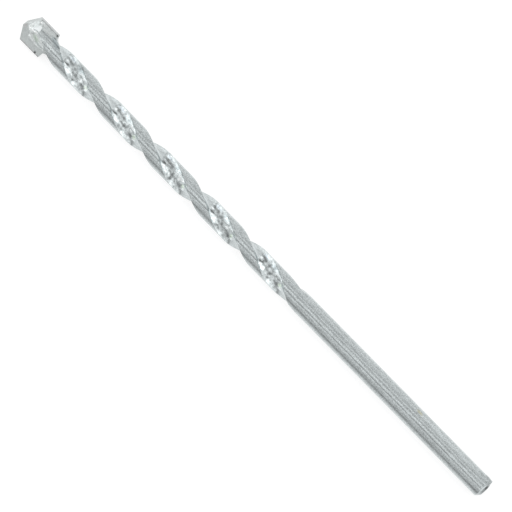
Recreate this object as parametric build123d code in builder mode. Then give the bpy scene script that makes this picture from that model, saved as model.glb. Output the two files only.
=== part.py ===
from build123d import *
from math import asin, atan2, cos, degrees, hypot, radians, sin, sqrt, tan
import os

# Masonry drill bit, lying on a level surface. Sizes are in millimetres and degrees.
# X is the bit's axis: the shank's end face is at x = 0 and the drill point at x = LENGTH.
# Angles around the axis run from +Y towards +Z.

# Overall
LENGTH = 200.0
BODY_DIAMETER = 7.0
TIP_DIAMETER = 9.7

# Flutes: two starts, right-hand
FLUTE_PITCH = 42.2
LAND_WIDTH_ANGLE = 76.4  # share of the turn that each land takes
WEB_THICKNESS = 2.96  # steel left between the two flute floors
FLUTE_LENGTH = 112.0  # drill point to where the flutes stop being full depth
RUNOUT_LENGTH = 10.5  # stretch in which the flutes rise out of the bar
RUNOUT_CLEARANCE = 0.3  # how far the flute's arc is outside the bar at the end of that
LAND_LEAD_ANGLE = 13.2  # land centre ahead of the plate, at the drill point

# Hard-metal plate
PLATE_LENGTH = 10.3
PLATE_THICKNESS = 2.4
POINT_ANGLE = 117.0
POINT_RELIEF_ANGLE = 20.0
SIDE_RELIEF_ANGLE = 5.5

# Ground steel end behind the point
STEEL_SETBACK = 2.2  # drill point to the steel beside the plate
STEEL_RELIEF_ANGLE = 48.0  # how fast the steel falls away from the plate
GASH_ANGLE = 48.0  # how fast it falls away in front of a cutting face

# Brazed joint
BRAZE_GAP = 0.1
BRAZE_FILLET_RADIUS = 2.2
BRAZE_FILLET_BITE = 0.15  # how deep its thin end runs into the web, so that it meets it at an angle

# Shank end
CHAMFER_LENGTH = 1.2
CHAMFER_DEPTH = 1.3
CHAMFER_ROUNDING = 0.4
CENTRE_HOLE_DIAMETER = 1.6
CENTRE_HOLE_DEPTH = 2.2
CENTRE_HOLE_CONE_ANGLE = 118.0

# Sizes that follow from those above
body_radius = BODY_DIAMETER / 2
tip_radius = TIP_DIAMETER / 2
flutes_start_x = LENGTH - FLUTE_LENGTH
runout_start_x = flutes_start_x - RUNOUT_LENGTH
cutter_reach = BODY_DIAMETER + TIP_DIAMETER  # how far out cutting shapes run, past all they cut
half_turns = (0, 180)  # the bit looks the same after half a turn

# Each flute is an arc through the two land edges and the web
mouth_half_angle = 90 - LAND_WIDTH_ANGLE / 2
mouth_half_chord = body_radius * sin(radians(mouth_half_angle))
mouth_chord_depth = body_radius * cos(radians(mouth_half_angle)) - WEB_THICKNESS / 2
flute_arc_radius = (mouth_chord_depth**2 + mouth_half_chord**2) / (2 * mouth_chord_depth)
flute_arc_centre = WEB_THICKNESS / 2 + flute_arc_radius
lifted_arc_centre = body_radius + flute_arc_radius + RUNOUT_CLEARANCE

# The point is a roof of two relief planes, and its ridge is the chisel edge
lip_slope = 1 / tan(radians(POINT_ANGLE / 2))
relief_slope = tan(radians(POINT_RELIEF_ANGLE))
steel_relief_slope = tan(radians(STEEL_RELIEF_ANGLE))
gash_slope = tan(radians(GASH_ANGLE))
slot_depth = PLATE_LENGTH + BRAZE_GAP
slot_half_width = PLATE_THICKNESS / 2 + BRAZE_GAP
fillet_foot = WEB_THICKNESS / 2 - BRAZE_FILLET_BITE
fillet_top = fillet_foot + BRAZE_FILLET_RADIUS

# The lip corners lie on the tip's circle, and the sides narrow behind them
lip_corner = sqrt(tip_radius**2 - (PLATE_THICKNESS / 2) ** 2)
side_relief = PLATE_THICKNESS * tan(radians(SIDE_RELIEF_ANGLE))
trailing_corner = lip_corner - side_relief

# The bit has rolled on its round body until a trailing corner of the plate meets the surface
# too. A plate that is no wider than the body meets nothing, and its corner points down.
corner_radius = hypot(trailing_corner, PLATE_THICKNESS / 2)
corner_angle = degrees(atan2(PLATE_THICKNESS / 2, trailing_corner))
plate_roll = corner_angle - degrees(asin(min(1, body_radius / corner_radius)))

centre_hole_radius = CENTRE_HOLE_DIAMETER / 2
centre_hole_cone = centre_hole_radius / tan(radians(CENTRE_HOLE_CONE_ANGLE / 2))


def flute_angle(x):
    """Angle of a flute's centre around the axis at the distance x from the shank's end."""
    land_angle = plate_roll + 180 + LAND_LEAD_ANGLE + 360 * (x - LENGTH) / FLUTE_PITCH
    return land_angle + 90


def around(radius, angle):
    """Point at that radius and angle in a cross-section, as y and z."""
    return radius * cos(radians(angle)), radius * sin(radians(angle))


def head_plane(turn):
    """Plane through the drill point and the plate's middle, turned about the axis.

    Its x runs back from the point and its y towards the half of the plate that the steel backs.
    """
    face_angle = plate_roll + 90 + turn
    return Plane(
        origin=(LENGTH, 0, 0),
        x_dir=(-1, 0, 0),
        z_dir=(0, cos(radians(face_angle)), sin(radians(face_angle))),
    )


# Cross-section at the plate's rear end: x towards the low half, y towards its cutting face
plate_section = Plane(
    origin=(LENGTH - PLATE_LENGTH, 0, 0),
    x_dir=(0, cos(radians(plate_roll)), sin(radians(plate_roll))),
    z_dir=(1, 0, 0),
)

# Fluted stretch: one cross-section that turns steadily as it runs to the point
with BuildPart() as fluted_stretch:
    with BuildLine() as flute_axis:
        Line((flutes_start_x, 0, 0), (LENGTH, 0, 0))
    with BuildLine() as flute_twist:
        Helix(
            pitch=FLUTE_PITCH,
            height=FLUTE_LENGTH,
            radius=body_radius,
            center=(flutes_start_x, 0, 0),
            direction=(1, 0, 0),
        )
    with BuildSketch(Plane.YZ.offset(flutes_start_x)):
        Circle(body_radius)
        for turn in half_turns:
            with Locations(around(flute_arc_centre, flute_angle(flutes_start_x) + turn)):
                Circle(flute_arc_radius, mode=Mode.SUBTRACT)
    sweep(path=flute_axis.wire(), binormal=flute_twist.wire())

# One flute's run-out, for cutting: the arc turns on and rises out of the bar
with BuildPart() as runout_cutter:
    with BuildLine() as runout_axis:
        Line((runout_start_x, 0, 0), (flutes_start_x, 0, 0))
    with BuildLine() as runout_twist:
        Helix(
            pitch=FLUTE_PITCH,
            height=RUNOUT_LENGTH,
            radius=body_radius,
            center=(runout_start_x, 0, 0),
            direction=(1, 0, 0),
        )
    with BuildSketch(Plane.YZ.offset(runout_start_x)):
        with Locations(around(lifted_arc_centre, flute_angle(runout_start_x))):
            Circle(flute_arc_radius)
    with BuildSketch(Plane.YZ.offset(flutes_start_x)):
        with Locations(around(flute_arc_centre, flute_angle(flutes_start_x))):
            Circle(flute_arc_radius)
    sweep(path=runout_axis.wire(), multisection=True, binormal=runout_twist.wire())

# Steel to grind off around the plate's point, on both sides of the plate
with BuildPart() as end_grind:
    for turn in half_turns:
        side = head_plane(turn)
        with BuildSketch(side.offset(PLATE_THICKNESS / 2)):
            with BuildLine():
                Polyline(
                    (STEEL_SETBACK, 0),
                    (STEEL_SETBACK + lip_slope * cutter_reach, cutter_reach),
                    (-cutter_reach, cutter_reach),
                    (-cutter_reach, -cutter_reach),
                    (STEEL_SETBACK + gash_slope * cutter_reach, -cutter_reach),
                    close=True,
                )
            make_face()
        extrude(amount=cutter_reach, dir=side.z_dir + side.x_dir * steel_relief_slope)

# Whole bar before the slot is cut: shank, run-outs, flutes, ground end and centre hole
with BuildPart() as fluted_bar:
    with BuildSketch(Plane.XY):
        with BuildLine():
            FilletPolyline(
                (0, 0),
                (0, body_radius - CHAMFER_DEPTH),
                (CHAMFER_LENGTH, body_radius),
                (flutes_start_x, body_radius),
                radius=CHAMFER_ROUNDING,
            )
            Polyline((flutes_start_x, body_radius), (flutes_start_x, 0), (0, 0))
        make_face()
    revolve(axis=Axis.X)
    for turn in half_turns:
        add(runout_cutter.part.rotate(Axis.X, turn), mode=Mode.SUBTRACT)
    add(fluted_stretch.part)
    add(end_grind.part, mode=Mode.SUBTRACT)
    with BuildSketch(Plane.XY):
        with BuildLine():
            Polyline(
                (0, 0),
                (0, centre_hole_radius),
                (CENTRE_HOLE_DEPTH, centre_hole_radius),
                (CENTRE_HOLE_DEPTH + centre_hole_cone, 0),
                close=True,
            )
        make_face()
    revolve(axis=Axis.X, mode=Mode.SUBTRACT)

# Slot across the end
with BuildPart() as slot:
    with BuildSketch(head_plane(0).offset(-slot_half_width)):
        with Locations((slot_depth, 0)):
            Rectangle(slot_depth + cutter_reach, 2 * cutter_reach, align=(Align.MAX, Align.CENTER))
    extrude(amount=2 * slot_half_width)

with BuildPart() as drill_body:
    add(fluted_bar.part)
    add(slot.part, mode=Mode.SUBTRACT)

# Plate: sides that narrow behind each lip, and the two relief planes of the point
with BuildPart() as tip_plate:
    with BuildSketch(plate_section):
        with BuildLine():
            Polyline(
                (lip_corner, PLATE_THICKNESS / 2),
                (-trailing_corner, PLATE_THICKNESS / 2),
                (-lip_corner, -PLATE_THICKNESS / 2),
                (trailing_corner, -PLATE_THICKNESS / 2),
                close=True,
            )
        make_face()
    extrude(amount=PLATE_LENGTH)
    for turn in half_turns:
        side = head_plane(turn)
        relief_normal = -side.x_dir - side.y_dir * lip_slope - side.z_dir * relief_slope
        split(bisect_by=Plane(origin=(LENGTH, 0, 0), z_dir=relief_normal), keep=Keep.BOTTOM)

# Fillets of filler metal behind the plate, where its rear edge stands out of the flutes
with BuildPart() as rear_fillets:
    with BuildSketch(head_plane(0)):
        with BuildLine():
            Line((PLATE_LENGTH, 0), (PLATE_LENGTH, fillet_top))
            RadiusArc(
                (PLATE_LENGTH, fillet_top),
                (PLATE_LENGTH + BRAZE_FILLET_RADIUS, fillet_foot),
                -BRAZE_FILLET_RADIUS,  # the sign makes the fillet hollow
            )
            Line(
                (PLATE_LENGTH + BRAZE_FILLET_RADIUS, fillet_foot),
                (PLATE_LENGTH + BRAZE_FILLET_RADIUS, 0),
            )
            Line((PLATE_LENGTH + BRAZE_FILLET_RADIUS, 0), (PLATE_LENGTH, 0))
        make_face()
    revolve(axis=Axis.X)
    with BuildSketch(head_plane(0).offset(-PLATE_THICKNESS / 2)):
        with Locations((PLATE_LENGTH, 0)):
            Rectangle(cutter_reach, 2 * cutter_reach, align=(Align.MIN, Align.CENTER))
    extrude(amount=PLATE_THICKNESS, mode=Mode.INTERSECT)

# Space that the plate takes before its point is ground
with BuildPart() as plate_space:
    with BuildSketch(head_plane(0).offset(-PLATE_THICKNESS / 2)):
        with Locations((PLATE_LENGTH, 0)):
            Rectangle(PLATE_LENGTH + cutter_reach, 2 * cutter_reach, align=(Align.MAX, Align.CENTER))
    extrude(amount=PLATE_THICKNESS)

with BuildPart() as braze:
    add(fluted_bar.part)
    add(slot.part, mode=Mode.INTERSECT)
    add(rear_fillets.part)
    add(plate_space.part, mode=Mode.SUBTRACT)
    add(drill_body.part, mode=Mode.SUBTRACT)

drill_body.part.label = "drill_body"
tip_plate.part.label = "tip_plate"
braze.part.label = "braze"

os.makedirs("parts", exist_ok=True)
export_step(drill_body.part, "parts/drill_body.step")
export_step(tip_plate.part, "parts/tip_plate.step")
export_step(braze.part, "parts/braze.step")
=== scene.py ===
import math

import bmesh
import bpy
import numpy as np
from mathutils import Matrix, Vector, noise
from mathutils.bvhtree import BVHTree


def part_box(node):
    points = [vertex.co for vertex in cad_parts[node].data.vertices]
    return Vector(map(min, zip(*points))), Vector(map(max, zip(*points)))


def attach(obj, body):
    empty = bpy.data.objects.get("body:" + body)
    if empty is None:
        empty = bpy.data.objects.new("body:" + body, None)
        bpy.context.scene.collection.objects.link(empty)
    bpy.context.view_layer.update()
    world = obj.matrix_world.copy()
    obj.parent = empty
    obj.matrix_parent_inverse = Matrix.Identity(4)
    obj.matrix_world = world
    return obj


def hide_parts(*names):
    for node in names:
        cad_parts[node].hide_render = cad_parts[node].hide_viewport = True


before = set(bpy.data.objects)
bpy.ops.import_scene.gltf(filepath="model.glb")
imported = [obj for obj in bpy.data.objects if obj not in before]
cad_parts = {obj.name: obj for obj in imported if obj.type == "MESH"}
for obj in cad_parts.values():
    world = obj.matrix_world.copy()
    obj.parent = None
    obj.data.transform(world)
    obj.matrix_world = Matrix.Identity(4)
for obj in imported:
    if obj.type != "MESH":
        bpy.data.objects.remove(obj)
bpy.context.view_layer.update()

# Sizes are in metres and angles in degrees, in the frame of the solids: X is the bit's axis,
# with the shank's end face at x = 0 and the drill point at x = LENGTH.
# Angles around the axis run from +Y towards +Z.
MM = 0.001

# Sizes read from the solids
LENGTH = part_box("tip_plate")[1].x
PLATE_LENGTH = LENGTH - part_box("tip_plate")[0].x
BODY_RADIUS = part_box("drill_body")[1].z

# Sizes of the real bit
TIP_RADIUS = 4.85 * MM
PLATE_THICKNESS = 2.4 * MM
SIDE_RELIEF_ANGLE = 5.5
FLUTE_PITCH = 42.2 * MM
LAND_WIDTH_ANGLE = 76.4
LAND_LEAD_ANGLE = 13.2
WEB_THICKNESS = 2.96 * MM
FLUTE_LENGTH = 112.0 * MM
RUNOUT_LENGTH = 10.5 * MM
RUNOUT_CLEARANCE = 0.3 * MM
STEEL_SETBACK = 2.2 * MM
POINT_ANGLE = 117.0
STEEL_RELIEF_ANGLE = 48.0
GASH_ANGLE = 48.0
BRAZE_GAP = 0.1 * MM
CHAMFER_LENGTH = 1.2 * MM
CHAMFER_DEPTH = 1.3 * MM
CHAMFER_ROUNDING = 0.4 * MM
CENTRE_HOLE_RADIUS = 0.8 * MM
CENTRE_HOLE_DEPTH = 2.2 * MM
CENTRE_HOLE_CONE_ANGLE = 118.0

# What sets this one bit apart from a new one
TWIST_STOPS_X = 82.5 * MM  # from here the flutes run straight on to their end
BURR_HEIGHT = 0.14 * MM  # the shank's end is hammered over on one side
BURR_LENGTH = 1.6 * MM
BURR_FROM = 0.8  # share of the radius from which on the burr lifts the surface
SQUARE_SIDE_SHARE = 0.25  # length of the chamfer there, as a share of the other side's
SQUARE_SIDE_ROUNDING = 0.9 * MM
HEAD_LAND_EXTRA = (14.0, 4.0)  # how much wider each land is at the plate, on its trailing side
HEAD_LAND_FROM, HEAD_LAND_FULL = 15.2 * MM, 13.0 * MM  # behind the point

# How the photograph looks at the bit
PLATE_TURN = 8.0  # the plate's broad face leans this far from the view, about the axis
PICTURE_SLOPE = 45.48  # the bit runs down to the right at this angle
PICTURE_WIDTH = 156.11 * MM  # what the picture's side spans at the bit
PICTURE_CENTRE_X = 99.89 * MM
PICTURE_CENTRE_RISE = 0.16 * MM
CAMERA_DISTANCE = 1.2
SENSOR_WIDTH = 36.0

# Sizes that follow
flutes_start_x = LENGTH - FLUTE_LENGTH
runout_start_x = flutes_start_x - RUNOUT_LENGTH
mouth_half_angle = 90 - LAND_WIDTH_ANGLE / 2
mouth_half_chord = BODY_RADIUS * math.sin(math.radians(mouth_half_angle))
mouth_chord_depth = BODY_RADIUS * math.cos(math.radians(mouth_half_angle)) - WEB_THICKNESS / 2
flute_arc_radius = (mouth_chord_depth**2 + mouth_half_chord**2) / (2 * mouth_chord_depth)
flute_arc_centre = WEB_THICKNESS / 2 + flute_arc_radius
lifted_arc_centre = BODY_RADIUS + flute_arc_radius + RUNOUT_CLEARANCE
half_turns = (0, 180)

lip_corner = math.sqrt(TIP_RADIUS**2 - (PLATE_THICKNESS / 2) ** 2)
trailing_corner = lip_corner - PLATE_THICKNESS * math.tan(math.radians(SIDE_RELIEF_ANGLE))
corner_radius = math.hypot(trailing_corner, PLATE_THICKNESS / 2)
corner_angle = math.degrees(math.atan2(PLATE_THICKNESS / 2, trailing_corner))
plate_roll = corner_angle - math.degrees(math.asin(BODY_RADIUS / corner_radius))
view_angle = plate_roll + 90 + PLATE_TURN


def across(angle):
    """Unit vector across the axis at that angle."""
    return Vector((0, math.cos(math.radians(angle)), math.sin(math.radians(angle))))


def flute_angle(x):
    """Angle of a flute's centre around the axis. The flutes run out straight."""
    x = np.maximum(x, TWIST_STOPS_X)
    return plate_roll + 180 + LAND_LEAD_ANGLE + 90 + 360 * (x - LENGTH) / FLUTE_PITCH


def arc_centre_at(x):
    """How far a flute's arc has its centre from the axis."""
    rise = np.clip((flutes_start_x - x) / RUNOUT_LENGTH, 0, 1)
    return flute_arc_centre + rise * (lifted_arc_centre - flute_arc_centre)


def flute_floor(arc_centre, angle):
    """Distance from the axis to a flute's floor, at an angle from the flute's centre."""
    angle = np.radians(angle)
    inside = flute_arc_radius**2 - (arc_centre * np.sin(angle)) ** 2
    floor = arc_centre * np.cos(angle) - np.sqrt(np.maximum(inside, 0))
    return np.where((inside > 0) & (np.abs(angle) < math.pi / 2), floor, np.inf)


def object_of(name, mesh):
    obj = bpy.data.objects.new(name, mesh)
    bpy.context.scene.collection.objects.link(obj)
    return obj


def new_object(name, verts, faces):
    mesh = bpy.data.meshes.new(name)
    mesh.from_pydata([tuple(v) for v in verts], [], faces)
    mesh.validate()
    return object_of(name, mesh)


def smooth(obj, angle):
    """Smooth faces, with sharp edges where they meet at more than that angle."""
    obj.data.shade_smooth()
    obj.data.set_sharp_from_angle(angle=math.radians(angle))


def height_and_nearness(verts):
    """How far above the axis each point lies in the view, and how much nearer to the camera."""
    return verts @ np.array(across(view_angle + 90)), verts @ np.array(across(view_angle))


def places_seen(verts):
    """Places on the side that faces the camera, with the far side turned half round onto it.

    Returns the distance behind the last crossing of the flutes with the outline, the height
    across the view and the nearness to the camera.
    """
    behind = np.mod(view_angle + 90 - flute_angle(verts[:, 0]), 180) / 360 * FLUTE_PITCH
    height, nearness = height_and_nearness(verts)
    return behind, height * np.sign(nearness), np.abs(nearness)


def noise_at(points, grain, seed):
    """Soft noise from -1 to 1 at the points, with grains of that size."""
    shift = Vector((seed, 2.3 * seed, 5.1 * seed))
    return np.array([noise.noise(Vector(p) / grain + shift) for p in points])


def spot(along, height, middle, level, half_length, half_width, slope):
    """Oval with soft edges: 1 in its middle and 0 outside. Its sizes are in millimetres."""
    cosine, sine = math.cos(math.radians(slope)), math.sin(math.radians(slope))
    right, up = along - middle * MM, height - level * MM
    ahead = (right * cosine + up * sine) / (half_length * MM)
    beside = (up * cosine - right * sine) / (half_width * MM)
    return np.exp(-((ahead**2 + beside**2) ** 2))


def marks_at(along, height, marks):
    """Sum of spots at each place, one value for each of red, green and blue."""
    total = np.zeros((len(along), 3))
    for *oval, strength in marks:
        total += np.outer(spot(along, height, *oval), strength)
    return total


def soft_step(value, start, end):
    """0 up to start and 1 from end on, with a smooth rise between them."""
    share = np.clip((value - start) / (end - start), 0, 1)
    return share * share * (3 - 2 * share)


def set_tint_and_painted_light(obj, tints):
    """Stores how each point's colour departs from its material's, as natural logarithms."""
    layer = obj.data.attributes.new("tint_and_painted_light", "FLOAT_COLOR", "POINT")
    colours = np.ones((len(tints), 4))
    colours[:, :3] = np.exp(tints)
    layer.data.foreach_set("color", colours.ravel())


def set_share(obj, name, values):
    layer = obj.data.attributes.new(name, "FLOAT", "POINT")
    layer.data.foreach_set("value", values)


def points_of(obj):
    flat = np.empty(3 * len(obj.data.vertices))
    obj.data.vertices.foreach_get("co", flat)
    return flat.reshape(-1, 3)


def grey(strength):
    return (strength, strength, strength)


# Painted highlights and painted shade in each flute, which also raise and sink its surface a
# little. Each has its place in millimetres behind the crossing of the flutes with the outline and
# above the axis, its half length and half width, its slope in degrees, and how much lighter or
# darker it is in red, green and blue, as a logarithm.
FLUTE_PAINTED_LIGHT = (
    (8.3, 3.0, 1.9, 0.5, -8, grey(0.48)),
    (7.2, 2.4, 1.5, 0.4, -8, (0.12, 0.15, 0.2)),
    (7.3, 1.5, 1.7, 0.38, -14, grey(-0.6)),
    (6.1, 1.0, 0.5, 0.25, 0, grey(0.5)),
    (6.7, 0.15, 0.9, 0.28, 0, grey(-1.2)),
    (8.0, -0.75, 2.1, 0.65, -4, grey(0.8)),
    (16.9, -2.2, 1.0, 0.5, -60, grey(0.45)),
    (17.1, -2.6, 0.7, 0.4, -50, grey(0.7)),
    (15.4, 0.75, 1.3, 0.45, -30, grey(0.5)),
    (11.4, 1.9, 1.6, 0.9, -10, (0.3, 0.34, 0.36)),
    (8.6, -1.35, 0.8, 0.45, -10, grey(0.65)),
    (9.7, 0.9, 0.6, 0.4, -30, grey(-0.5)),
    (10.0, -0.5, 0.5, 0.35, 10, grey(-0.6)),
    (11.3, -0.5, 0.6, 0.4, -30, grey(-0.8)),
    (10.3, -1.2, 0.5, 0.3, -30, grey(0.4)),
    (10.2, -1.9, 0.4, 0.35, 0, grey(-0.3)),
    (11.5, -2.1, 0.5, 0.4, -40, grey(-0.8)),
    (12.7, -2.6, 1.3, 0.6, -10, grey(0.62)),
    (12.3, 1.9, 3.2, 0.75, -24, grey(0.3)),
    (18.3, -1.6, 2.6, 1.0, -24, grey(0.08)),
    (14.6, -1.5, 1.1, 0.4, -16, grey(-0.7)),
    (14.6, -0.5, 1.3, 0.4, -20, grey(0.3)),
    (13.4, 1.15, 2.4, 0.6, -24, grey(0.3)),
    (15.2, 0.4, 1.0, 0.4, -24, grey(0.2)),
    (12.9, 0.5, 1.8, 0.5, -24, grey(0.25)),
    (16.5, -2.4, 1.1, 0.7, -40, grey(0.4)),
    (3.0, 1.5, 3.0, 1.2, -20, grey(0.11)),
    (3.2, -2.3, 2.2, 0.75, 0, grey(0.13)),  # on the wall past the axis, which shows above it
    (16.0, -1.0, 0.7, 0.5, -20, (0.25, 0.32, 0.18)),
    (13.2, -0.3, 0.6, 0.35, -20, grey(0.35)),
)
FORGED_FROM, FORGED_TO = 5.2 * MM, 16.4 * MM  # the mottled stretch between two smooth wedges, whose mottled colour is painted reflection sparkle
FORGED_EDGE = 0.4 * MM
FLUTE_FROM, FLUTE_FULL = 0.02 * MM, 0.15 * MM  # depth at which the surface counts as flute
FLUTE_MARKS_FROM, FLUTE_MARKS_FULL = 10.0 * MM, 12.0 * MM  # behind the point
RUNOUT_FADE = 3.0 * MM
MARK_FADE = 0.8 * MM  # marks fade out this close to the plane between the near and far side
FLUTE_PAINTED_LIGHT_FADE = 0.4 * MM
MARK_WANDER = 0.25 * MM
WANDER_SIZE = 0.8 * MM
MARK_HEIGHT = 0.03 * MM
MOTTLE_SIZE = 0.9 * MM
MOTTLE_HEIGHT = 0.05 * MM

# Steel body: a grid of rows along the bit and columns around it
FLUTE_COLUMNS = 46
LAND_COLUMNS = 26
SHANK_ROW_STEP = 1.0 * MM
FLUTE_ROW_STEP = 0.25 * MM
NARROWEST_MOUTH = 6.0
CHAMFER_ROWS = 7
ROUNDING_ROWS = 5
CUTTER_REACH = 4 * BODY_RADIUS  # cutters end well outside the bar
HOLE_MARGIN = 1.1  # share of the centre hole's radius that still counts as the hole
HOLE_REGION = 5.0 * MM


def steel_depth(verts):
    """How far each point lies inside the bar's round wall."""
    return BODY_RADIUS - np.hypot(verts[:, 1], verts[:, 2])


def flute_share(verts):
    return soft_step(steel_depth(verts), FLUTE_FROM, FLUTE_FULL)


def flute_look(verts):
    """Share of forged surface at each point, and its painted highlights and painted shade."""
    wander = np.stack([noise_at(verts, WANDER_SIZE, seed) for seed in (1, 2)], 1) * MARK_WANDER
    behind, height, nearness = places_seen(verts)
    in_flute = flute_share(verts)
    in_flute *= soft_step(verts[:, 0], runout_start_x, runout_start_x + RUNOUT_FADE)
    in_flute *= soft_step(LENGTH - verts[:, 0], FLUTE_MARKS_FROM, FLUTE_MARKS_FULL)
    forged = soft_step(behind + wander[:, 0], FORGED_FROM - FORGED_EDGE, FORGED_FROM + FORGED_EDGE)
    forged *= 1 - soft_step(behind + wander[:, 0], FORGED_TO - FORGED_EDGE, FORGED_TO + FORGED_EDGE)
    forged *= in_flute
    # Painted highlights and painted shade in the flutes, which also shape the surface a little
    marks = marks_at(behind + wander[:, 0], height + wander[:, 1], FLUTE_PAINTED_LIGHT)
    marks *= (in_flute * soft_step(nearness, 0, FLUTE_PAINTED_LIGHT_FADE))[:, None]
    return forged, marks


def arc_points(centre, radius, start, end, count):
    """Points on an arc in the plane along X and outwards, between two angles in degrees."""
    angles = np.radians(np.linspace(start, end, count))
    return [(centre[0] + radius * math.cos(a), centre[1] + radius * math.sin(a)) for a in angles]


def shank_outline():
    """Points along X and outwards, from the centre hole's tip to the end of the plain shank."""
    cone = CENTRE_HOLE_RADIUS / math.tan(math.radians(CENTRE_HOLE_CONE_ANGLE / 2))
    slope = math.degrees(math.atan2(CHAMFER_DEPTH, CHAMFER_LENGTH))
    face_corner = BODY_RADIUS - CHAMFER_DEPTH
    inset_face = CHAMFER_ROUNDING * math.tan(math.radians((90 - slope) / 2))
    inset_wall = CHAMFER_ROUNDING * math.tan(math.radians(slope / 2))
    points = [
        (CENTRE_HOLE_DEPTH + cone, 0),
        (CENTRE_HOLE_DEPTH, CENTRE_HOLE_RADIUS),
        (CENTRE_HOLE_DEPTH / 2, CENTRE_HOLE_RADIUS),
        (0, CENTRE_HOLE_RADIUS),
        (0, (CENTRE_HOLE_RADIUS + face_corner) / 2),
    ]
    face_centre = (CHAMFER_ROUNDING, face_corner - inset_face)
    wall_centre = (CHAMFER_LENGTH + inset_wall, BODY_RADIUS - CHAMFER_ROUNDING)
    inner = arc_points(face_centre, CHAMFER_ROUNDING, 180, 90 + slope, ROUNDING_ROWS)
    outer = arc_points(wall_centre, CHAMFER_ROUNDING, 90 + slope, 90, ROUNDING_ROWS)
    between = [tuple(p) for p in np.linspace(inner[-1], outer[0], CHAMFER_ROWS + 2)[1:-1]]
    points += inner + between + outer
    first = points[-1][0]
    rows = int(round((runout_start_x - first) / SHANK_ROW_STEP))
    points += [(x, BODY_RADIUS) for x in np.linspace(first, runout_start_x, rows + 1)[1:]]
    return points


def bar_rows():
    """Rows of the bar: the shank's outline, then even steps through the flutes."""
    outline = shank_outline()
    rows = int(round((LENGTH - runout_start_x) / FLUTE_ROW_STEP))
    outline += [(x, BODY_RADIUS) for x in np.linspace(runout_start_x, LENGTH, rows + 1)[1:]]
    outline.append((LENGTH, 0))
    return np.array(outline)


def column_angles(mouth):
    """Angles of the columns from a flute's centre, for half a turn: its mouth, then a land."""
    in_mouth = np.linspace(-mouth, mouth, FLUTE_COLUMNS + 1)[:-1]
    on_land = np.linspace(mouth, 180 - mouth, LAND_COLUMNS + 1)[:-1]
    return np.concatenate([in_mouth, on_land])


def in_centre_hole(verts):
    near_axis = np.hypot(verts[:, 1], verts[:, 2]) < HOLE_MARGIN * CENTRE_HOLE_RADIUS
    return near_axis & (verts[:, 0] < HOLE_REGION)


def shape_end(verts):
    """Makes the shank's end nearly square on its upper side, with a burr, as hammering left it."""
    upper = np.clip(height_and_nearness(verts)[0] / BODY_RADIUS, 0, 1)
    upper = soft_step(upper, 0.0, 0.9)
    end_length = CHAMFER_LENGTH + CHAMFER_ROUNDING
    on_chamfer = (verts[:, 0] < end_length) & ~in_centre_hole(verts)
    shorter = 1 - upper * (1 - SQUARE_SIDE_SHARE)
    moved = np.where(on_chamfer, verts[:, 0] * shorter, verts[:, 0])
    burr = BURR_HEIGHT * upper * np.exp(-(((verts[:, 0] - end_length) / BURR_LENGTH) ** 2))
    reach = np.hypot(verts[:, 1], verts[:, 2])
    before_arc = np.clip(SQUARE_SIDE_ROUNDING - moved, 0, SQUARE_SIDE_ROUNDING)
    arc_drop = SQUARE_SIDE_ROUNDING - np.sqrt(SQUARE_SIDE_ROUNDING**2 - before_arc**2)
    shaped = np.minimum(reach, BODY_RADIUS - upper * arc_drop)
    shaped += burr * (reach > BURR_FROM * BODY_RADIUS)
    scale = np.where(reach > 0, shaped / np.maximum(reach, MM / 1000), 1)
    return np.stack([moved, verts[:, 1] * scale, verts[:, 2] * scale], 1)


def bar_ring(x, outline_radius):
    """One row of points around the bar: for each half turn a flute, then a land."""
    centre = arc_centre_at(x)
    cosine = (BODY_RADIUS**2 + centre**2 - flute_arc_radius**2) / (2 * BODY_RADIUS * centre)
    mouth = max(math.degrees(math.acos(min(1, cosine))), NARROWEST_MOUTH)
    angles = column_angles(mouth)
    radius = np.minimum(outline_radius, flute_floor(centre, angles))
    if x < runout_start_x:
        radius = np.full_like(angles, outline_radius)
    near_plate = soft_step(LENGTH - x, HEAD_LAND_FROM, HEAD_LAND_FULL)
    halves = []
    for turn, here, next_on in zip(half_turns, HEAD_LAND_EXTRA, reversed(HEAD_LAND_EXTRA)):
        wider = here * soft_step(-angles, 0, mouth) + next_on * soft_step(angles, 90, 180 - mouth)
        around = np.radians(flute_angle(x) + turn + angles + wider * near_plate)
        ring = [np.full_like(angles, x), radius * np.cos(around), radius * np.sin(around)]
        halves.append(np.stack(ring, 1))
    return np.concatenate(halves)


def forged_relief(verts):
    """How far forging left each point above the plain surface."""
    forged, marks = flute_look(verts)
    mottle = noise_at(verts, MOTTLE_SIZE, 3) + 0.5 * noise_at(verts, MOTTLE_SIZE / 2, 4)
    return forged * mottle * MOTTLE_HEIGHT + marks.mean(axis=1) * MARK_HEIGHT


def tube_faces(rows, columns):
    faces = []
    for i in range(rows - 1):
        for j in range(columns):
            k = (j + 1) % columns
            faces.append((i * columns + j, (i + 1) * columns + j, (i + 1) * columns + k, i * columns + k))
    return faces


def bar_surface():
    rows = bar_rows()
    verts = shape_end(np.concatenate([bar_ring(x, radius) for x, radius in rows]))
    reach = np.hypot(verts[:, 1], verts[:, 2])
    verts[:, 1:] *= (1 + forged_relief(verts) / np.maximum(reach, MM))[:, None]
    return verts, tube_faces(len(rows), 2 * (FLUTE_COLUMNS + LAND_COLUMNS))


def head_side(turn):
    """Directions of one side of the plate: back from the point, along the plate, off its face."""
    back = Vector((-1, 0, 0))
    off = across(plate_roll + 90 + turn)
    return back, off.cross(back), off


def prism(name, outline, back, along, sweep, start):
    """Closed solid: an outline in the plane of back and along, swept from start."""
    base = [start + back * a + along * b for a, b in outline]
    verts = base + [p + sweep for p in base]
    count = len(outline)
    faces = [tuple(range(count)), tuple(range(2 * count - 1, count - 1, -1))]
    for i in range(count):
        k = (i + 1) % count
        faces.append((i, i + count, k + count, k))
    obj = new_object(name, verts, faces)
    bm = bmesh.new()
    bm.from_mesh(obj.data)
    bmesh.ops.recalc_face_normals(bm, faces=bm.faces)
    bm.to_mesh(obj.data)
    bm.free()
    return obj


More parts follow.
